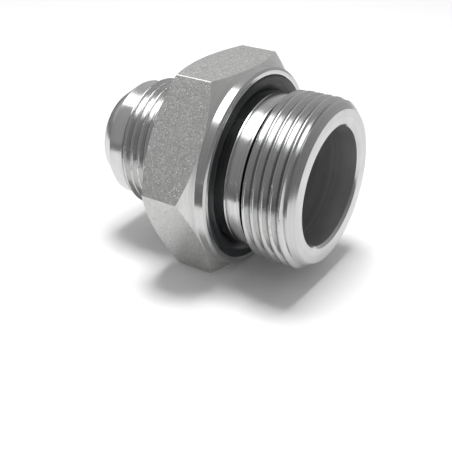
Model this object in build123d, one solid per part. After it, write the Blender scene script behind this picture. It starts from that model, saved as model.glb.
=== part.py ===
from build123d import *
import math
import os

# Male adapter fitting, lying on one flat of its hexagon. Millimetres, +Z up.
# The axis of the fitting is the X axis. X = 0 is the sealing face of the collar,
# the port thread points along +X and the flare thread along -X.

# Hexagon, with its corners turned off at both ends
ACROSS_FLATS = 50.0
HEX_LENGTH = 14.25
HEX_CHAMFER_ANGLE = 30.0       # from the end faces

# Port thread: parallel pipe thread of 1 1/4 inch, 11 turns to the inch
PORT_THREAD_DIA = 41.8
PORT_PITCH = 25.4 / 11
PORT_THREAD_DEPTH = 1.48
PORT_CREST_FLAT = 0.38
PORT_END_LENGTH = 20.0         # from the sealing face to the port end
PORT_CHAMFER = 2.15            # at 45 degrees
PORT_START_ANGLE = 321.9       # turns the groove round the axis

# Neck and relief groove between the seal and the port thread
NECK_BELOW_ROOT = 0.3          # radial
NECK_LENGTH = 5.9
RELIEF_BELOW_NECK = 0.6        # radial
RELIEF_LENGTH = 1.55           # to the crest of the first turn
RELIEF_WALL_LENGTH = 0.45      # axial, of the steep wall up to that crest

# Collar, and the groove in its face for the seal
GROOVE_WIDTH = 3.95            # radial, from the neck
GROOVE_DEPTH = 2.0
RIM_WIDTH = 1.65               # radial, outside the groove
RIM_EDGE_RADIAL = 0.65         # broken outer edge of the rim
RIM_EDGE_AXIAL = 0.4
COLLAR_LENGTH = 2.55

# Seal ring in that groove
SEAL_CLEARANCE = 0.05          # to the groove's wall and to the neck
SEAL_PROUD = 0.15              # ahead of the sealing face, before it is clamped
SEAL_FACE_SHARE = 0.54         # flat face, as a share of the ring's radial width
SEAL_SLOPE_DEPTH = 1.2         # from the flat face the ring slopes down to the neck
SEAL_EDGE_CHAMFER = 0.4

# Flare thread: 1 5/16 inch, 12 turns to the inch
FLARE_THREAD_DIA = 33.34
FLARE_PITCH = 25.4 / 12
FLARE_THREAD_DEPTH = 1.37
FLARE_CREST_FLAT = 0.26
FLARE_END_LENGTH = 23.1        # from the hexagon to the tip of the cone
FLARE_CHAMFER_ANGLE = 45.0
FLARE_RELIEF_BELOW_ROOT = 0.15
FLARE_RELIEF_LENGTH = 2.6
FLARE_START_ANGLE = 85.0       # turns the groove round the axis

# Smooth land and 37 degree cone at the tip
LAND_BELOW_ROOT = 0.2          # radial
LAND_LENGTH = 3.7
CONE_ANGLE = 37.0
TIP_RIM = 0.5                  # radial width of the flat ring round the mouth

# Bore: wide from the port end, narrow from the tip, with a square step between
PORT_BORE_DIA = 29.3
PORT_BORE_DEPTH = 29.0
PORT_BORE_CHAMFER = 0.65
FLARE_BORE_DIA = 22.2

# Air beyond a surface that a cutting section or a blank reaches into
OVERRUN = 0.1


def tangent(angle):
    return math.tan(math.radians(angle))


# Radii that follow from the threads
PORT_CREST = PORT_THREAD_DIA / 2
PORT_ROOT = PORT_CREST - PORT_THREAD_DEPTH
NECK_RADIUS = PORT_ROOT - NECK_BELOW_ROOT
RELIEF_RADIUS = NECK_RADIUS - RELIEF_BELOW_NECK
GROOVE_RADIUS = NECK_RADIUS + GROOVE_WIDTH
COLLAR_RADIUS = GROOVE_RADIUS + RIM_WIDTH
FLARE_CREST = FLARE_THREAD_DIA / 2
FLARE_ROOT = FLARE_CREST - FLARE_THREAD_DEPTH
FLARE_RELIEF_RADIUS = FLARE_ROOT - FLARE_RELIEF_BELOW_ROOT
LAND_RADIUS = FLARE_ROOT - LAND_BELOW_ROOT
TIP_RADIUS = FLARE_BORE_DIA / 2 + TIP_RIM

# Places along the axis
PORT_END_X = PORT_END_LENGTH
HEX_PORT_X = -COLLAR_LENGTH
HEX_FLARE_X = HEX_PORT_X - HEX_LENGTH
TIP_X = HEX_FLARE_X - FLARE_END_LENGTH
CONE_END_X = TIP_X + (LAND_RADIUS - TIP_RADIUS) / tangent(CONE_ANGLE)
LAND_END_X = CONE_END_X + LAND_LENGTH
RELIEF_END_X = NECK_LENGTH + RELIEF_LENGTH
FLARE_RELIEF_X = HEX_FLARE_X - FLARE_RELIEF_LENGTH


def outline(*points):
    """Closed straight-sided outline through the points."""
    return Polyline(*points, close=True)


def turned(half_section):
    """Solid turned about the X axis, from the (x, radius) outline of its half section."""
    return revolve(make_face(half_section), Axis.X)


def thread_groove(crest, pitch, depth, crest_flat, start_x, end_x, start_angle):
    """Turns of a right-hand helical V groove about X, from start_x to past end_x.

    The V has the depth of the real thread and runs from crest flat to crest flat. It stands
    a little outside the crests. One turn is swept, and its copies join end to end. The first
    and the last turn end in the air or over a relief groove.
    """
    mouth_half = (pitch - crest_flat) / 2 * (depth + OVERRUN) / depth
    path = Helix(pitch, pitch, crest, center=(start_x, 0, 0), direction=(1, 0, 0))
    start = path @ 0
    outward = Vector(0, start.Y, start.Z).normalized()
    axial_plane = Plane(origin=start, x_dir=(1, 0, 0), z_dir=Vector(1, 0, 0).cross(outward))
    section = make_face(outline((0, -depth), (mouth_half, OVERRUN), (-mouth_half, OVERRUN)))
    turn = sweep(axial_plane * section, path=path, is_frenet=True).rotate(Axis.X, start_angle)
    turns = math.ceil((end_x - start_x) / pitch)
    return [Pos(number * pitch, 0, 0) * turn for number in range(turns)]


def hexagon():
    """Hexagon bar with a flat underneath, its corners turned to a cone at both ends."""
    across = Plane.YZ * RegularPolygon(ACROSS_FLATS / 2, 6, major_radius=False)
    bar = Pos(HEX_FLARE_X, 0, 0) * extrude(across, HEX_LENGTH)
    corner = ACROSS_FLATS / 2 / math.cos(math.pi / 6) + OVERRUN
    turned_off = (corner - COLLAR_RADIUS) * tangent(HEX_CHAMFER_ANGLE)
    cones = turned(outline(
        (HEX_FLARE_X, 0),
        (HEX_FLARE_X, COLLAR_RADIUS),
        (HEX_FLARE_X + turned_off, corner),
        (HEX_PORT_X - turned_off, corner),
        (HEX_PORT_X, COLLAR_RADIUS),
        (HEX_PORT_X, 0),
    ))
    return bar & cones


def collar():
    """Round collar with a broken outer edge and the groove of the seal in its face."""
    disc = turned(outline(
        (HEX_PORT_X - OVERRUN, 0),
        (HEX_PORT_X - OVERRUN, COLLAR_RADIUS),
        (-RIM_EDGE_AXIAL, COLLAR_RADIUS),
        (0, COLLAR_RADIUS - RIM_EDGE_RADIAL),
        (0, 0),
    ))
    groove = turned(outline(
        (-GROOVE_DEPTH, NECK_RADIUS),
        (-GROOVE_DEPTH, GROOVE_RADIUS),
        (OVERRUN, GROOVE_RADIUS),
        (OVERRUN, NECK_RADIUS),
    ))
    return disc - groove


def port_end():
    """Neck, relief groove and port thread, chamfered at both ends."""
    blank = turned(outline(
        (HEX_PORT_X, 0),
        (HEX_PORT_X, NECK_RADIUS),
        (NECK_LENGTH, NECK_RADIUS),
        (NECK_LENGTH, RELIEF_RADIUS),
        (RELIEF_END_X - RELIEF_WALL_LENGTH, RELIEF_RADIUS),
        (RELIEF_END_X, PORT_CREST),
        (PORT_END_X - PORT_CHAMFER, PORT_CREST),
        (PORT_END_X, PORT_CREST - PORT_CHAMFER),
        (PORT_END_X, 0),
    ))
    groove = thread_groove(
        PORT_CREST, PORT_PITCH, PORT_THREAD_DEPTH, PORT_CREST_FLAT,
        RELIEF_END_X - PORT_PITCH / 2, PORT_END_X, PORT_START_ANGLE,
    )
    return blank - groove


def flare_end():
    """Flare thread with its relief groove, then the land, the cone and the tip."""
    chamfer_length = (FLARE_CREST - LAND_RADIUS) / tangent(FLARE_CHAMFER_ANGLE)
    run_out_length = (FLARE_CREST - FLARE_RELIEF_RADIUS) / tangent(FLARE_CHAMFER_ANGLE)
    blank = turned(outline(
        (TIP_X, 0),
        (TIP_X, TIP_RADIUS),
        (CONE_END_X, LAND_RADIUS),
        (LAND_END_X, LAND_RADIUS),
        (LAND_END_X + chamfer_length, FLARE_CREST),
        (FLARE_RELIEF_X - run_out_length, FLARE_CREST),
        (FLARE_RELIEF_X, FLARE_RELIEF_RADIUS),
        (HEX_FLARE_X + OVERRUN, FLARE_RELIEF_RADIUS),
        (HEX_FLARE_X + OVERRUN, 0),
    ))
    groove = thread_groove(
        FLARE_CREST, FLARE_PITCH, FLARE_THREAD_DEPTH, FLARE_CREST_FLAT,
        LAND_END_X - FLARE_PITCH, FLARE_RELIEF_X - FLARE_PITCH / 2, FLARE_START_ANGLE,
    )
    return blank - groove


def bore():
    """Stepped bore from end to end, with a chamfer at the port's mouth."""
    wide = PORT_BORE_DIA / 2
    narrow = FLARE_BORE_DIA / 2
    step_x = PORT_END_X - PORT_BORE_DEPTH
    mouth = PORT_BORE_CHAMFER + OVERRUN
    return turned(outline(
        (TIP_X - OVERRUN, 0),
        (TIP_X - OVERRUN, narrow),
        (step_x, narrow),
        (step_x, wide),
        (PORT_END_X - PORT_BORE_CHAMFER, wide),
        (PORT_END_X + OVERRUN, wide + mouth),
        (PORT_END_X + OVERRUN, 0),
    ))


def body():
    """The fitting itself, turned from hexagon bar in one piece."""
    blank = hexagon() + collar() + port_end() + flare_end()
    return blank - bore()


def seal_ring():
    """Elastomer ring in the groove: a flat face outside, a slope down to the neck inside."""
    inner = NECK_RADIUS + SEAL_CLEARANCE
    outer = GROOVE_RADIUS - SEAL_CLEARANCE
    width = outer - inner
    return turned(outline(
        (-GROOVE_DEPTH, inner),
        (-GROOVE_DEPTH, outer),
        (SEAL_PROUD - SEAL_EDGE_CHAMFER, outer),
        (SEAL_PROUD, outer - SEAL_EDGE_CHAMFER),
        (SEAL_PROUD, outer - width * SEAL_FACE_SHARE),
        (SEAL_PROUD - SEAL_SLOPE_DEPTH, inner),
    ))


os.makedirs("parts", exist_ok=True)
export_step(body(), "parts/body.step")
export_step(seal_ring(), "parts/seal_ring.step")
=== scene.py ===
import bpy
import math
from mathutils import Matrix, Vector


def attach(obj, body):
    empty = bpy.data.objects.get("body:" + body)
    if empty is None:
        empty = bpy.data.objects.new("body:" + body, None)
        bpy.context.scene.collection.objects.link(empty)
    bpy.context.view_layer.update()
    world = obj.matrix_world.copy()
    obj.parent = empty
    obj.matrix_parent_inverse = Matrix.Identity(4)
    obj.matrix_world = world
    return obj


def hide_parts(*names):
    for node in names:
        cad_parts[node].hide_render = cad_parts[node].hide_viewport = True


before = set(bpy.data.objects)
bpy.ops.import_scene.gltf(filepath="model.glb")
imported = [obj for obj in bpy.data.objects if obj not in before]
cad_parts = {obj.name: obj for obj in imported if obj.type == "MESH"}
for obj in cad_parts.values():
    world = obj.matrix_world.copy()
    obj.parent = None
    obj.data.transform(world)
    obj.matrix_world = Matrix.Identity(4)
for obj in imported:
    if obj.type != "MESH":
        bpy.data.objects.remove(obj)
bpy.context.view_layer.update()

# Camera
# The photograph's viewpoint: a long lens from the front, right of the port end and above it.
CAMERA_PLACE = (0.0919, -0.1612, 0.0840)
CAMERA_TILT = 61.505
CAMERA_ROLL = -0.796
CAMERA_PAN = 32.618
camera_data = bpy.data.cameras.new("camera")
camera_data.lens = 65.37
camera_data.sensor_width = 36.0
camera = bpy.data.objects.new("camera", camera_data)
camera.location = CAMERA_PLACE
camera.rotation_euler = [math.radians(angle) for angle in (CAMERA_TILT, CAMERA_ROLL, CAMERA_PAN)]
bpy.context.scene.collection.objects.link(camera)
bpy.context.scene.camera = camera

# The fitting's body
# One piece of hexagon steel bar, turned on a lathe from both ends about the X axis, with two
# threads cut into it, then zinc plated. The bar's own flats are left between the turned ends.
MM = 0.001

ACROSS_FLATS = 50.0 * MM
BAR_EDGE_RADIUS = 0.18 * MM
BAR_LENGTH = 80.0 * MM
BAR_CENTRE = -10.0 * MM
HEX_END = -16.8 * MM
HEX_START = -2.55 * MM
HEX_CHAMFER = math.radians(30)
CHAMFER_REACH = 4.5 * MM       # radial, from the collar to past the bar's corners

COLLAR_RADIUS = 24.72 * MM
RIM_FLAT_RADIUS = 24.07 * MM
RIM_EDGE = 0.4 * MM
GROOVE_RADIUS = 23.07 * MM
GROOVE_DEPTH = 2.0 * MM
NECK_RADIUS = 19.12 * MM
BEAD_X = 1.75 * MM
BEAD_HALF = 0.4 * MM
BEAD_HEIGHT = 0.08 * MM
LINE_X = 5.2 * MM
LINE_HALF = 0.1 * MM
LINE_DEPTH = 0.12 * MM
NECK_END = 5.9 * MM
RELIEF_RADIUS = 18.52 * MM
RELIEF_END = 7.45 * MM
RELIEF_WALL_LENGTH = 0.45 * MM

PORT_CREST = 20.9 * MM
PORT_END = 20.0 * MM
PORT_CHAMFER = 2.15 * MM
PORT_BORE = 14.65 * MM
PORT_BORE_CHAMFER = 0.65 * MM
BORE_STEP = -9.0 * MM

FLARE_CREST = 16.67 * MM
FLARE_RELIEF = 15.15 * MM
FLARE_RELIEF_LENGTH = 2.6 * MM
LAND_RADIUS = 15.10 * MM
LAND_END = -31.555 * MM
CONE_END = -35.255 * MM
TIP = -39.9 * MM
TIP_RADIUS = 11.6 * MM
FLARE_BORE = 11.1 * MM

# Roundings of the turned edges and corners, finest first
LINE_ROUND = 0.03 * MM
LINE_LIP_ROUND = 0.04 * MM
FINE_EDGE = 0.08 * MM
BEAD_FOOT_ROUND = 0.1 * MM
TIP_MOUTH_EDGE = 0.1 * MM
TURNED_EDGE = 0.12 * MM
TOOL_NOSE = 0.15 * MM
FILLET = 0.2 * MM
PORT_CHAMFER_EDGE = 0.25 * MM
WIDE_FILLET = 0.3 * MM
HEX_FOOT_FILLET = 0.4 * MM

TURN_STEPS = 240
BODY_SMOOTH_ANGLE = math.radians(28)


def only(obj):
    """Leaves this object alone selected and active."""
    bpy.ops.object.select_all(action="DESELECT")
    obj.select_set(True)
    bpy.context.view_layer.objects.active = obj


def profile(name, points, segments=3):
    """A closed outline in the XZ plane, drawn as (x, radius, corner radius) points.

    The outline starts as one vertex, grows by extrusion, and each corner is then bevelled to
    its own radius.
    """
    bpy.ops.object.select_all(action="DESELECT")
    first = points[0]
    bpy.ops.mesh.primitive_plane_add(size=MM, location=(first[0], 0, first[1]))
    outline = bpy.context.object
    outline.name = name
    bpy.ops.object.transform_apply(location=True, rotation=True, scale=True)
    bpy.ops.object.mode_set(mode="EDIT")
    bpy.ops.mesh.select_mode(type="VERT")
    bpy.ops.mesh.merge(type="CENTER")
    here = first
    for point in points[1:]:
        step = (point[0] - here[0], 0, point[1] - here[1])
        bpy.ops.mesh.extrude_region_move(TRANSFORM_OT_translate={"value": step})
        here = point
    bpy.ops.mesh.select_all(action="SELECT")
    bpy.ops.mesh.edge_face_add()
    bpy.ops.mesh.delete(type="ONLY_FACE")
    bpy.ops.object.mode_set(mode="OBJECT")
    for x, radius, corner in points:
        if corner:
            round_corner(outline, x, radius, corner, segments)
    return outline


def round_corner(outline, x, radius, corner, segments):
    """Bevels the outline's vertex at (x, radius) to an arc of that corner radius."""
    only(outline)
    place = Vector((x, 0, radius))
    corner_vertex = min(outline.data.vertices, key=lambda v: (v.co - place).length)
    index = corner_vertex.index
    arms = []
    for edge in outline.data.edges:
        if index in edge.vertices:
            other = sum(edge.vertices) - index
            arms.append((outline.data.vertices[other].co - corner_vertex.co).normalized())
    inside = arms[0].angle(arms[1])
    tangent_length = corner / math.tan(inside / 2)
    bpy.ops.object.mode_set(mode="EDIT")
    bpy.ops.mesh.select_mode(type="VERT")
    bpy.ops.mesh.select_all(action="DESELECT")
    bpy.ops.object.mode_set(mode="OBJECT")
    outline.data.vertices[index].select = True
    bpy.ops.object.mode_set(mode="EDIT")
    bpy.ops.mesh.bevel(
        offset=tangent_length, offset_type="OFFSET", segments=segments, affect="VERTICES",
    )
    bpy.ops.object.mode_set(mode="OBJECT")


def turned(outline):
    """Turns a closed outline about the X axis into a solid."""
    only(outline)
    bpy.ops.object.mode_set(mode="EDIT")
    bpy.ops.mesh.select_all(action="SELECT")
    bpy.ops.mesh.spin(steps=TURN_STEPS, angle=2 * math.pi, center=(0, 0, 0), axis=(1, 0, 0))
    bpy.ops.mesh.select_all(action="SELECT")
    bpy.ops.mesh.remove_doubles(threshold=0.0005 * MM)
    bpy.ops.mesh.normals_make_consistent(inside=False)
    bpy.ops.object.mode_set(mode="OBJECT")
    return outline


def cut(solid, tool, operation):
    """Cuts the solid with the tool, or keeps what both share, and deletes the tool."""
    only(solid)
    bpy.ops.object.modifier_add(type="BOOLEAN")
    modifier = solid.modifiers[-1]
    modifier.operation = operation
    modifier.solver = "EXACT"
    modifier.object = tool
    bpy.ops.object.modifier_apply(modifier=modifier.name)
    bpy.data.objects.remove(tool, do_unlink=True)


def thread_tool(name, crest, pitch, start_x, turns, start_angle, flank, crest_round, root_round):
    """A right-hand helical cutter about X, as wide as the pitch, that leaves rounded crests."""
    air = 0.3 * MM
    above_crest = 0.02 * MM
    gap_between_turns = 0.03 * MM
    half = pitch / 2 - gap_between_turns
    corner_half = half - crest_round * math.tan((math.pi / 2 - flank) / 2)
    tool = profile(name, (
        (0, crest - corner_half / math.tan(flank), root_round),
        (-corner_half, crest, crest_round),
        (-half, crest + above_crest, 0),
        (-half, crest + air, 0),
        (half, crest + air, 0),
        (half, crest + above_crest, 0),
        (corner_half, crest, crest_round),
    ), segments=6)
    only(tool)
    bpy.ops.object.mode_set(mode="EDIT")
    bpy.ops.mesh.select_all(action="SELECT")
    bpy.ops.transform.translate(value=(start_x, 0, 0))
    bpy.ops.object.mode_set(mode="OBJECT")
    bpy.ops.object.modifier_add(type="SCREW")
    screw = tool.modifiers[-1]
    screw.axis = "X"
    screw.angle = 2 * math.pi * turns
    screw.screw_offset = pitch * turns
    screw.iterations = 1
    screw.steps = int(TURN_STEPS * turns)
    screw.render_steps = screw.steps
    bpy.ops.object.modifier_apply(modifier=screw.name)
    bpy.ops.object.mode_set(mode="EDIT")
    bpy.ops.mesh.select_mode(type="EDGE")
    bpy.ops.mesh.select_all(action="DESELECT")
    bpy.ops.mesh.select_non_manifold()
    bpy.ops.mesh.edge_face_add()
    bpy.ops.mesh.select_all(action="SELECT")
    bpy.ops.mesh.normals_make_consistent(inside=False)
    bpy.ops.transform.rotate(value=start_angle, orient_axis="X", center_override=(0, 0, 0))
    bpy.ops.object.mode_set(mode="OBJECT")
    return tool


flare_rise = FLARE_CREST - LAND_RADIUS
flare_run_out = FLARE_CREST - FLARE_RELIEF
chamfer_run = CHAMFER_REACH * math.tan(HEX_CHAMFER)
body = turned(profile("body_turned", (
    (TIP, FLARE_BORE, TIP_MOUTH_EDGE),
    (TIP, TIP_RADIUS, TOOL_NOSE),
    (CONE_END, LAND_RADIUS, WIDE_FILLET),
    (LAND_END, LAND_RADIUS, TURNED_EDGE),
    (LAND_END + flare_rise, FLARE_CREST, TOOL_NOSE),
    (HEX_END - FLARE_RELIEF_LENGTH - flare_run_out, FLARE_CREST, TOOL_NOSE),
    (HEX_END - FLARE_RELIEF_LENGTH, FLARE_RELIEF, WIDE_FILLET),
    (HEX_END, FLARE_RELIEF, HEX_FOOT_FILLET),
    (HEX_END, COLLAR_RADIUS, WIDE_FILLET),
    (HEX_END + chamfer_run, COLLAR_RADIUS + CHAMFER_REACH, 0),
    (HEX_START - chamfer_run, COLLAR_RADIUS + CHAMFER_REACH, 0),
    (HEX_START, COLLAR_RADIUS, TOOL_NOSE),
    (-RIM_EDGE, COLLAR_RADIUS, TURNED_EDGE),
    (0, RIM_FLAT_RADIUS, TURNED_EDGE),
    (0, GROOVE_RADIUS, FINE_EDGE),
    (-GROOVE_DEPTH, GROOVE_RADIUS, TOOL_NOSE),
    (-GROOVE_DEPTH, NECK_RADIUS, TOOL_NOSE),
    (BEAD_X - BEAD_HALF, NECK_RADIUS, BEAD_FOOT_ROUND),
    (BEAD_X, NECK_RADIUS + BEAD_HEIGHT, FILLET),
    (BEAD_X + BEAD_HALF, NECK_RADIUS, BEAD_FOOT_ROUND),
    (LINE_X - LINE_HALF, NECK_RADIUS, LINE_LIP_ROUND),
    (LINE_X, NECK_RADIUS - LINE_DEPTH, LINE_ROUND),
    (LINE_X + LINE_HALF, NECK_RADIUS, LINE_LIP_ROUND),
    (NECK_END, NECK_RADIUS, FINE_EDGE),
    (NECK_END, RELIEF_RADIUS, FINE_EDGE),
    (RELIEF_END - RELIEF_WALL_LENGTH, RELIEF_RADIUS, FILLET),
    (RELIEF_END, PORT_CREST, TOOL_NOSE),
    (PORT_END - PORT_CHAMFER, PORT_CREST, PORT_CHAMFER_EDGE),
    (PORT_END, PORT_CREST - PORT_CHAMFER, TURNED_EDGE),
    (PORT_END, PORT_BORE + PORT_BORE_CHAMFER, FINE_EDGE),
    (PORT_END - PORT_BORE_CHAMFER, PORT_BORE, TOOL_NOSE),
    (BORE_STEP, PORT_BORE, FILLET),
    (BORE_STEP, FLARE_BORE, FILLET),
)))

# What the turned blank shares with the drawn bar keeps the bar's flats and its slightly round edges.
bpy.ops.object.select_all(action="DESELECT")
bpy.ops.mesh.primitive_cylinder_add(
    vertices=6, radius=ACROSS_FLATS / 2 / math.cos(math.pi / 6), depth=BAR_LENGTH,
    location=(BAR_CENTRE, 0, 0), rotation=(0, math.pi / 2, 0),
)
bar = bpy.context.object
bar.name = "hexagon_bar"
bpy.ops.object.transform_apply(location=True, rotation=True, scale=True)
bpy.ops.object.mode_set(mode="EDIT")
bpy.ops.mesh.select_mode(type="EDGE")
bpy.ops.mesh.select_all(action="DESELECT")
bpy.ops.object.mode_set(mode="OBJECT")
for edge in bar.data.edges:
    one, two = (bar.data.vertices[index].co for index in edge.vertices)
    edge.select = abs(one.x - two.x) > BAR_LENGTH / 2
bpy.ops.object.mode_set(mode="EDIT")
bpy.ops.mesh.bevel(offset=BAR_EDGE_RADIUS, segments=4)
bpy.ops.object.mode_set(mode="OBJECT")
cut(body, bar, "INTERSECT")

PORT_PITCH = 25.4 / 11 * MM
PORT_TURNS = 7
PORT_START_ANGLE = math.radians(321.9)
PORT_FLANK = math.radians(27.5)
PORT_CREST_ROUND = 0.32 * MM
PORT_ROOT_ROUND = 0.25 * MM
cut(body, thread_tool(
    "port_thread_tool", PORT_CREST, PORT_PITCH, RELIEF_END - PORT_PITCH / 2, PORT_TURNS,
    PORT_START_ANGLE, PORT_FLANK, PORT_CREST_ROUND, PORT_ROOT_ROUND,
), "DIFFERENCE")

FLARE_PITCH = 25.4 / 12 * MM
FLARE_TURNS = 7
FLARE_START_ANGLE = math.radians(85)
FLARE_FLANK = math.radians(30)
FLARE_CREST_ROUND = 0.25 * MM
FLARE_ROOT_ROUND = 0.2 * MM
cut(body, thread_tool(
    "flare_thread_tool", FLARE_CREST, FLARE_PITCH, LAND_END - FLARE_PITCH, FLARE_TURNS,
    FLARE_START_ANGLE, FLARE_FLANK, FLARE_CREST_ROUND, FLARE_ROOT_ROUND,
), "DIFFERENCE")
body.name = "fitting_body"
only(body)
bpy.ops.object.shade_smooth_by_angle(angle=BODY_SMOOTH_ANGLE)


def node(tree, kind, **settings):
    """Adds a shader node with these settings."""
    new = tree.nodes.new(kind)
    for name, value in settings.items():
        setattr(new, name, value)
    return new


def feed(tree, socket, source):
    """Feeds a socket from another node's output, or sets it to a plain value."""
    if isinstance(source, bpy.types.NodeSocket):
        tree.links.new(source, socket)
    else:
        socket.default_value = source


def maths(tree, operation, *values):
    """A Math node's output, from sockets or numbers."""
    new = node(tree, "ShaderNodeMath", operation=operation)
    for socket, value in zip(new.inputs, values):
        feed(tree, socket, value)
    return new.outputs["Value"]


def all_of(tree, *masks):
    """A mask that is on where all of these are."""
    result = masks[0]
    for mask in masks[1:]:
        result = maths(tree, "MULTIPLY", result, mask)
    return result


def vectors(tree, operation, *values):
    """A Vector Math node, fed with sockets or plain vectors."""
    new = node(tree, "ShaderNodeVectorMath", operation=operation)
    for socket, value in zip(new.inputs, values):
        feed(tree, socket, value)
    return new


def spread(tree, value, low, high, to_low=0.0, to_high=1.0):
    """Maps the range low to high of a value to another range, smoothly."""
    new = node(tree, "ShaderNodeMapRange", interpolation_type="SMOOTHSTEP")
    feed(tree, new.inputs["Value"], value)
    feed(tree, new.inputs["From Min"], low)
    feed(tree, new.inputs["From Max"], high)
    feed(tree, new.inputs["To Min"], to_low)
    feed(tree, new.inputs["To Max"], to_high)
    return new.outputs["Result"]


def noise(tree, place, scale, detail=2.0, roughness=0.5):
    """A noise from 0 to 1, with so many bumps to the metre."""
    new = node(tree, "ShaderNodeTexNoise")
    feed(tree, new.inputs["Vector"], place)
    feed(tree, new.inputs["Scale"], scale)
    feed(tree, new.inputs["Detail"], detail)
    feed(tree, new.inputs["Roughness"], roughness)
    return new.outputs["Fac"]


def node_group(name, inputs, outputs):
    """A new shader node group, with its number sockets, and its input and output nodes."""
    group = bpy.data.node_groups.new(name, "ShaderNodeTree")
    for title in inputs:
        group.interface.new_socket(name=title, in_out="INPUT", socket_type="NodeSocketFloat")
    for title in outputs:
        group.interface.new_socket(name=title, in_out="OUTPUT", socket_type="NodeSocketFloat")
    return group, node(group, "NodeGroupInput"), node(group, "NodeGroupOutput")


def use_group(tree, group, values=()):
    """Puts a node group into a material, with its inputs set in their order."""
    new = node(tree, "ShaderNodeGroup", node_tree=group)
    for socket, value in zip(new.inputs, values):
        feed(tree, socket, value)
    return new


def turned_place(tree):
    """The place on the piece, its way along the axis, and its radius from the axis."""
    place = node(tree, "ShaderNodeTexCoord").outputs["Object"]
    along = node(tree, "ShaderNodeSeparateXYZ")
    feed(tree, along.inputs["Vector"], place)
    across = vectors(tree, "MULTIPLY", place, (0, 1, 1)).outputs["Vector"]
    return place, along.outputs["X"], vectors(tree, "LENGTH", across).outputs["Value"]


# Turning lines run round the axis, so their noise changes only along X and with the radius.
turning_lines, given, made = node_group("turning_lines", ("Lines per mm",), ("Height", "Streak"))
tree = turning_lines
place, x, radius = turned_place(tree)
section_place = node(tree, "ShaderNodeCombineXYZ")
feed(tree, section_place.inputs["X"], x)
feed(tree, section_place.inputs["Y"], radius)
section = section_place.outputs["Vector"]
per_metre = maths(tree, "MULTIPLY", given.outputs["Lines per mm"], 1000.0)
fine = noise(tree, section, maths(tree, "MULTIPLY", per_metre, 5.0), detail=1.0)
coarse = noise(tree, section, per_metre, detail=2.0, roughness=0.6)
patches = noise(tree, place, 180.0, detail=2.0)
feed(tree, made.inputs["Height"], maths(tree, "MULTIPLY_ADD", fine, 0.12, coarse))
streak = maths(tree, "MULTIPLY_ADD", patches, 0.5, coarse)
feed(tree, made.inputs["Streak"], spread(tree, streak, 0.5, 1.0))

# Painted shade in the deep grooves: the colour of the relief groove and of the roots of both threads
# is darkened where shade falls in them.
PAINTED_SHADE_IN_PORT_ROOTS = 0.5
PAINTED_SHADE_IN_FLARE_ROOTS = 0.4
BORE_WALL = 2.0 * MM           # the bores keep clear of the painted shade by this much of the wall
groove_painted_shade, given, made = node_group("groove_painted_shade", (), ("Painted shade",))
tree = groove_painted_shade
place, x, radius = turned_place(tree)
in_relief = spread(tree, radius, NECK_RADIUS - 0.05 * MM, NECK_RADIUS + 0.5 * MM, 1.0, 0.0)
in_port_roots = spread(
    tree, radius, PORT_CREST - 1.45 * MM, PORT_CREST - 1.15 * MM, PAINTED_SHADE_IN_PORT_ROOTS, 0.0,
)
port_painted_shade = all_of(
    tree,
    maths(tree, "MAXIMUM", in_relief, in_port_roots),
    maths(tree, "GREATER_THAN", x, NECK_END - 0.02 * MM),
    maths(tree, "LESS_THAN", x, PORT_END - PORT_CHAMFER),
    maths(tree, "GREATER_THAN", radius, PORT_BORE + BORE_WALL),
)
in_flare_roots = spread(
    tree, radius, FLARE_CREST - 1.35 * MM, FLARE_CREST - 1.1 * MM, PAINTED_SHADE_IN_FLARE_ROOTS, 0.0,
)
flare_painted_shade = all_of(
    tree,
    in_flare_roots,
    maths(tree, "GREATER_THAN", x, LAND_END + 0.1 * MM),
    maths(tree, "LESS_THAN", x, HEX_END),
    maths(tree, "GREATER_THAN", radius, FLARE_BORE + BORE_WALL),
)
feed(tree, made.inputs["Painted shade"], maths(tree, "MAXIMUM", port_painted_shade, flare_painted_shade))

# Crystals of the zinc on the drawn bar: small facets, most of them tilted a little, a few a lot,
# and those few get a painted glint.
zinc_crystals, given, made = node_group(
    "zinc_crystals", ("Crystals per mm", "Tilt"), ("Height", "Painted glint", "Tone"),
)
tree = zinc_crystals
place = node(tree, "ShaderNodeTexCoord").outputs["Object"]
cells = node(tree, "ShaderNodeTexVoronoi", feature="F1")
feed(tree, cells.inputs["Vector"], place)
feed(tree, cells.inputs["Scale"], maths(tree, "MULTIPLY", given.outputs["Crystals per mm"], 1000.0))
lean = vectors(tree, "SUBTRACT", cells.outputs["Color"], (0.5, 0.5, 0.5)).outputs["Vector"]
lean_size = vectors(tree, "LENGTH", lean).outputs["Value"]
from_centre = vectors(tree, "SUBTRACT", place, cells.outputs["Position"]).outputs["Vector"]
slope = vectors(tree, "DOT_PRODUCT", from_centre, lean).outputs["Value"]
facet = all_of(tree, slope, maths(tree, "POWER", lean_size, 1.5), given.outputs["Tilt"])
feed(tree, made.inputs["Height"], facet)
feed(tree, made.inputs["Painted glint"], spread(tree, lean_size, 0.715, 0.8))
feed(tree, made.inputs["Tone"], noise(tree, place, 1500.0, detail=3.0, roughness=0.75))

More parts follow.
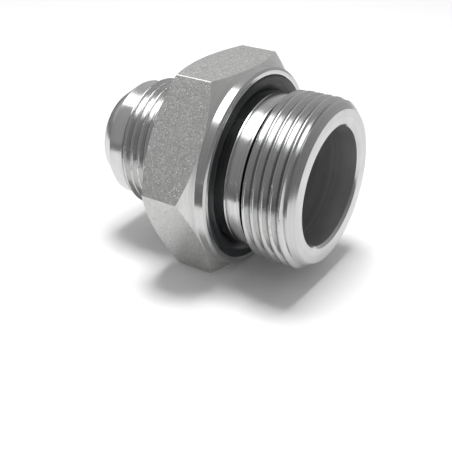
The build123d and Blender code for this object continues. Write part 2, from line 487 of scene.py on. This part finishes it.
# Nicks and small dents where the thread crests have been knocked, the flare's in a few patches
crest_nicks, given, made = node_group("crest_nicks", (), ("Nick",))
tree = crest_nicks
place, x, radius = turned_place(tree)
few = spread(tree, noise(tree, place, 850.0, detail=1.0), 0.69, 0.73)
more = spread(tree, noise(tree, place, 1000.0, detail=1.0), 0.59, 0.63)
in_patches = spread(tree, noise(tree, place, 130.0, detail=1.0), 0.4, 0.52)
port_nicks = all_of(
    tree,
    spread(tree, radius, PORT_CREST - 0.16 * MM, PORT_CREST - 0.05 * MM),
    maths(tree, "GREATER_THAN", x, NECK_END),
    few,
)
flare_nicks = all_of(
    tree,
    spread(tree, radius, FLARE_CREST - 0.2 * MM, FLARE_CREST - 0.05 * MM),
    maths(tree, "LESS_THAN", x, HEX_END - 1.0 * MM),
    more,
    in_patches,
)
feed(tree, made.inputs["Nick"], maths(tree, "MAXIMUM", port_nicks, flare_nicks))


def new_finish(name, metallic):
    """A new material, its node tree and its shader."""
    material = bpy.data.materials.new(name)
    material.use_nodes = True
    shader = material.node_tree.nodes["Principled BSDF"]
    shader.inputs["Metallic"].default_value = metallic
    return material, material.node_tree, shader


def shade(tree, factor, one, two):
    """A colour between two others."""
    mix = node(tree, "ShaderNodeMix", data_type="RGBA")
    feed(tree, mix.inputs[0], factor)
    feed(tree, mix.inputs[6], one)
    feed(tree, mix.inputs[7], two)
    return mix.outputs[2]


def lined_finish(name, metallic, lines_per_mm, pale, dark, smoothest, roughest):
    """A turned surface's material, whose colour and roughness follow its turning lines."""
    material, tree, shader = new_finish(name, metallic)
    lines = use_group(tree, turning_lines, (lines_per_mm,))
    streak = lines.outputs["Streak"]
    colour = shade(tree, streak, pale, dark)
    roughness = spread(tree, streak, 0.0, 1.0, smoothest, roughest)
    feed(tree, shader.inputs["Base Color"], colour)
    feed(tree, shader.inputs["Roughness"], roughness)
    return material, tree, shader, lines, colour, roughness


def bumped(tree, shader, height, distance):
    """Bumps the surface by a height, so many metres for each unit of it."""
    bump = node(tree, "ShaderNodeBump")
    bump.inputs["Strength"].default_value = 1.0
    bump.inputs["Distance"].default_value = distance
    feed(tree, bump.inputs["Height"], height)
    feed(tree, shader.inputs["Normal"], bump.outputs["Normal"])


# Bright plating on the turned surfaces, with painted shade in the grooves, and nicked on the crests
PAINTED_SHADE_COLOUR = (0.05, 0.05, 0.052, 1)
NICK_DEPTH = 4.0               # as a share of the turning lines' height
NICK_ROUGHNESS = 0.2
turned_steel, tree, shader, lines, colour, roughness = lined_finish(
    "plated_steel_turned", 1.0, 1.3, (0.76, 0.765, 0.76, 1), (0.66, 0.665, 0.66, 1), 0.13, 0.24,
)
# Painted shade: the grooves' colour is mixed towards near black.
painted_shade = use_group(tree, groove_painted_shade).outputs["Painted shade"]
feed(tree, shader.inputs["Base Color"], shade(tree, painted_shade, colour, PAINTED_SHADE_COLOUR))
nick = use_group(tree, crest_nicks).outputs["Nick"]
feed(tree, shader.inputs["Roughness"], maths(tree, "MULTIPLY_ADD", nick, NICK_ROUGHNESS, roughness))
surface = maths(tree, "MULTIPLY_ADD", nick, -NICK_DEPTH, lines.outputs["Height"])
bumped(tree, shader, surface, 0.03 * MM)

# Satin plating on the drawn flats, with painted glints on a few crystals
satin_steel, tree, shader = new_finish("plated_steel_satin", 0.78)
crystals = use_group(tree, zinc_crystals, (6.2, 0.5))
# Painted glint: the most tilted crystals are coloured near white, made less metallic and a little
# rougher.
painted_glint = crystals.outputs["Painted glint"]
feed(tree, shader.inputs["Metallic"], spread(tree, painted_glint, 0.0, 1.0, 0.78, 0.1))
feed(tree, shader.inputs["Roughness"], spread(tree, painted_glint, 0.0, 1.0, 0.26, 0.3))
grain = node(tree, "ShaderNodeValToRGB")
grain.color_ramp.elements[0].position = 0.3
grain.color_ramp.elements[0].color = (0.49, 0.50, 0.49, 1)
grain.color_ramp.elements[1].position = 0.7
grain.color_ramp.elements[1].color = (0.80, 0.805, 0.79, 1)
feed(tree, grain.inputs["Fac"], crystals.outputs["Tone"])
colour = shade(tree, painted_glint, grain.outputs["Color"], (0.95, 0.95, 0.95, 1))
feed(tree, shader.inputs["Base Color"], colour)
bumped(tree, shader, crystals.outputs["Height"], 1.0)

# Smoother satin plating on the hexagon's turned corners
corner_steel, tree, shader, lines, colour, roughness = lined_finish(
    "plated_steel_corners", 0.84, 0.9, (0.80, 0.80, 0.79, 1), (0.70, 0.70, 0.69, 1), 0.26, 0.34,
)
bumped(tree, shader, lines.outputs["Height"], 0.02 * MM)

# Darker, duller plating in the bore
bore_steel = lined_finish(
    "plated_steel_bore", 0.75, 0.8, (0.44, 0.44, 0.44, 1), (0.36, 0.36, 0.36, 1), 0.42, 0.52,
)[0]

FINISHES = (turned_steel, satin_steel, corner_steel, bore_steel)
FLAT_SLOPE = 0.3               # faces that lean less along X are the bar's own flats
body.data.materials.clear()
for finish in FINISHES:
    body.data.materials.append(finish)
for face in body.data.polygons:
    centre = face.center
    radius = math.hypot(centre.y, centre.z)
    between_ends = HEX_END - 0.01 * MM < centre.x < HEX_START + 0.05 * MM
    before_mouth = LAND_END < centre.x < PORT_END - PORT_BORE_CHAMFER
    if between_ends and radius > COLLAR_RADIUS + 0.08 * MM:
        finish = satin_steel if abs(face.normal.x) < FLAT_SLOPE else corner_steel
    elif before_mouth and radius < PORT_BORE + 0.05 * MM:
        finish = bore_steel
    else:
        finish = turned_steel
    face.material_index = FINISHES.index(finish)
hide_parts("body")
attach(body, "root")

# The seal ring
# A black moulded elastomer ring that lies in the groove of the collar's face, flat outside and
# sloping down to the neck inside. It is pushed over the thread and stays behind the neck's bead.
SEAL_PROUD = 0.15 * MM
SEAL_INNER = 19.17 * MM
SEAL_OUTER = 23.02 * MM
SEAL_FLAT_INNER = 20.94 * MM
SEAL_SLOPE_DEPTH = 1.2 * MM
SEAL_BACK_ROUND = 0.15 * MM
SEAL_OUTER_ROUND = 0.45 * MM
SEAL_FLAT_ROUND = 0.4 * MM
SEAL_LIP_ROUND = 0.1 * MM
SEAL_SMOOTH_ANGLE = math.radians(40)
ring = turned(profile("seal_ring_visual", (
    (-GROOVE_DEPTH, SEAL_INNER, SEAL_BACK_ROUND),
    (-GROOVE_DEPTH, SEAL_OUTER, SEAL_BACK_ROUND),
    (SEAL_PROUD, SEAL_OUTER, SEAL_OUTER_ROUND),
    (SEAL_PROUD, SEAL_FLAT_INNER, SEAL_FLAT_ROUND),
    (SEAL_PROUD - SEAL_SLOPE_DEPTH, SEAL_INNER, SEAL_LIP_ROUND),
)))
only(ring)
bpy.ops.object.shade_smooth_by_angle(angle=SEAL_SMOOTH_ANGLE)
rubber, tree, shader, lines, colour, roughness = lined_finish(
    "seal_rubber", 0.0, 1.6, (0.010, 0.012, 0.016, 1), (0.020, 0.022, 0.026, 1), 0.26, 0.42,
)
bumped(tree, shader, lines.outputs["Height"], 0.03 * MM)
ring.data.materials.clear()
ring.data.materials.append(rubber)
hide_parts("seal_ring")
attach(ring, "root")

# The floor
# A plain white studio floor, under the flat of the hexagon that the fitting lies on.
# Reflections see it a little greyer than the camera does.
FLOOR_Z = -ACROSS_FLATS / 2
FLOOR_SIZE = 6.0
FLOOR_WHITE = 0.98
FLOOR_REFLECTED = 0.78
bpy.ops.object.select_all(action="DESELECT")
bpy.ops.mesh.primitive_plane_add(size=FLOOR_SIZE, location=(0, 0, FLOOR_Z))
floor = bpy.context.object
floor.name = "floor"
paper, tree, shader = new_finish("floor_white", 0.0)
shader.inputs["Roughness"].default_value = 0.9
ray = node(tree, "ShaderNodeLightPath")
whiteness = spread(tree, ray.outputs["Is Glossy Ray"], 0.0, 1.0, FLOOR_WHITE, FLOOR_REFLECTED)
feed(tree, shader.inputs["Base Color"], whiteness)
floor.data.materials.append(paper)

# The studio
# A grey tent round the table, darkest at the photographer's side, with a softbox over it on the
# left. Only reflections see them. A lamp straight overhead and white air do the lighting.
TENT_RADIUS = 0.5
TENT_LEVEL = 0.32
TENT_RISE_TO_BACK = 0.125
TENT_RISE_TO_LEFT = 0.1
SOFTBOX_LEVEL = 4.0
SOFTBOX_PLACE = (-0.145, -0.012, 0.260)
SOFTBOX_SIZE = (0.39, 0.22)
SOFTBOX_TURN = math.radians(-31)
SOFTBOX_EVEN_SIDE = 0.25       # the glow is even this far from its middle, as a share of its width
SOFTBOX_EVEN_END = 0.2
CARD_PLACE = (0, -0.062, -0.0165)
CARD_SIZE = (0.06, 0.017)
CARD_LEVEL = 0.16
TABLE_FRONT = -0.088
TABLE_LEFT = -0.14
BEYOND_TABLE_WIDTH = 0.3
BEYOND_TABLE_LENGTH = 0.8
BEYOND_TABLE_LEVEL = 0.2
BEYOND_TABLE_Z = FLOOR_Z + 0.5 * MM
LAMP_PLACE = (-0.03, 0.02, 0.6)
LAMP_SIZE = 0.22
LAMP_WATTS = 3.2
AIR_LEVEL = 0.42


def reflected_only(obj):
    """Keeps a studio piece out of the picture, the shadows and the soft light."""
    obj.visible_camera = False
    obj.visible_diffuse = False
    obj.visible_shadow = False


def glow(name):
    """A plain light-giving material, its node tree and the socket of its strength."""
    material = bpy.data.materials.new(name)
    material.use_nodes = True
    tree = material.node_tree
    tree.nodes.remove(tree.nodes["Principled BSDF"])
    emission = node(tree, "ShaderNodeEmission")
    feed(tree, tree.nodes["Material Output"].inputs["Surface"], emission.outputs["Emission"])
    return material, tree, emission.inputs["Strength"]


def reflector(name, material, place, size, turn=(0, 0, 0)):
    """A flat piece that only reflections see, so wide and long."""
    bpy.ops.object.select_all(action="DESELECT")
    bpy.ops.mesh.primitive_plane_add(size=1, location=place, rotation=turn)
    flat = bpy.context.object
    flat.name = name
    flat.scale = (*size, 1)
    bpy.ops.object.transform_apply(location=True, rotation=True, scale=True)
    flat.data.materials.append(material)
    reflected_only(flat)


bpy.ops.object.select_all(action="DESELECT")
bpy.ops.mesh.primitive_uv_sphere_add(
    segments=64, ring_count=32, radius=TENT_RADIUS, location=(0, 0, FLOOR_Z),
)
tent = bpy.context.object
tent.name = "tent"
bpy.ops.object.transform_apply(location=True, rotation=True, scale=True)
bpy.ops.object.mode_set(mode="EDIT")
bpy.ops.mesh.select_all(action="SELECT")
bpy.ops.mesh.bisect(plane_co=(0, 0, FLOOR_Z + 0.2 * MM), plane_no=(0, 0, 1), clear_inner=True)
bpy.ops.object.mode_set(mode="OBJECT")
bpy.ops.object.shade_smooth()
tent_glow, tree, strength = glow("tent_glow")
brighter_way = (-TENT_RISE_TO_LEFT / TENT_RADIUS, TENT_RISE_TO_BACK / TENT_RADIUS, 0)
place = node(tree, "ShaderNodeTexCoord").outputs["Object"]
rise = vectors(tree, "DOT_PRODUCT", place, brighter_way).outputs["Value"]
feed(tree, strength, maths(tree, "ADD", rise, TENT_LEVEL))
tent.data.materials.append(tent_glow)
reflected_only(tent)

softbox_glow, tree, strength = glow("softbox_glow")
uv = node(tree, "ShaderNodeTexCoord").outputs["UV"]
across = node(tree, "ShaderNodeSeparateXYZ")
feed(tree, across.inputs["Vector"], vectors(tree, "SUBTRACT", uv, (0.5, 0.5, 0)).outputs["Vector"])
from_side = maths(tree, "ABSOLUTE", across.outputs["X"])
from_end = maths(tree, "ABSOLUTE", across.outputs["Y"])
even = all_of(
    tree,
    spread(tree, from_side, SOFTBOX_EVEN_SIDE, 0.5, 1.0, 0.0),
    spread(tree, from_end, SOFTBOX_EVEN_END, 0.5, 1.0, 0.0),
)
feed(tree, strength, maths(tree, "MULTIPLY_ADD", even, SOFTBOX_LEVEL, TENT_LEVEL))
reflector("softbox", softbox_glow, SOFTBOX_PLACE, SOFTBOX_SIZE, (0, 0, SOFTBOX_TURN))

card_glow, tree, strength = glow("card_glow")
feed(tree, strength, CARD_LEVEL)
reflector("grey_card", card_glow, CARD_PLACE, CARD_SIZE, (math.pi / 2, 0, 0))

edge_glow, tree, strength = glow("edge_glow")
feed(tree, strength, BEYOND_TABLE_LEVEL)
reflector(
    "table_edge", edge_glow, (0, TABLE_FRONT - BEYOND_TABLE_WIDTH / 2, BEYOND_TABLE_Z),
    (BEYOND_TABLE_LENGTH, BEYOND_TABLE_WIDTH),
)
reflector(
    "table_edge_left", edge_glow, (TABLE_LEFT - BEYOND_TABLE_WIDTH / 2, 0, BEYOND_TABLE_Z),
    (BEYOND_TABLE_WIDTH, BEYOND_TABLE_LENGTH),
)

lamp_data = bpy.data.lights.new("overhead", "AREA")
lamp_data.shape = "RECTANGLE"
lamp_data.size = LAMP_SIZE
lamp_data.size_y = LAMP_SIZE
lamp_data.energy = LAMP_WATTS
lamp = bpy.data.objects.new("overhead", lamp_data)
lamp.location = LAMP_PLACE
lamp.visible_glossy = False
bpy.context.scene.collection.objects.link(lamp)

world = bpy.data.worlds.new("white_air")
bpy.context.scene.world = world
world.use_nodes = True
tree = world.node_tree
background = tree.nodes["Background"]
background.inputs["Color"].default_value = (1, 1, 1, 1)
ray = node(tree, "ShaderNodeLightPath")
seen = maths(tree, "MAXIMUM", ray.outputs["Is Camera Ray"], ray.outputs["Is Glossy Ray"])
seen = maths(tree, "MAXIMUM", seen, ray.outputs["Is Transmission Ray"])
feed(tree, background.inputs["Strength"], spread(tree, seen, 0.0, 1.0, AIR_LEVEL, 1.0))

bpy.context.scene.view_settings.view_transform = "Standard"
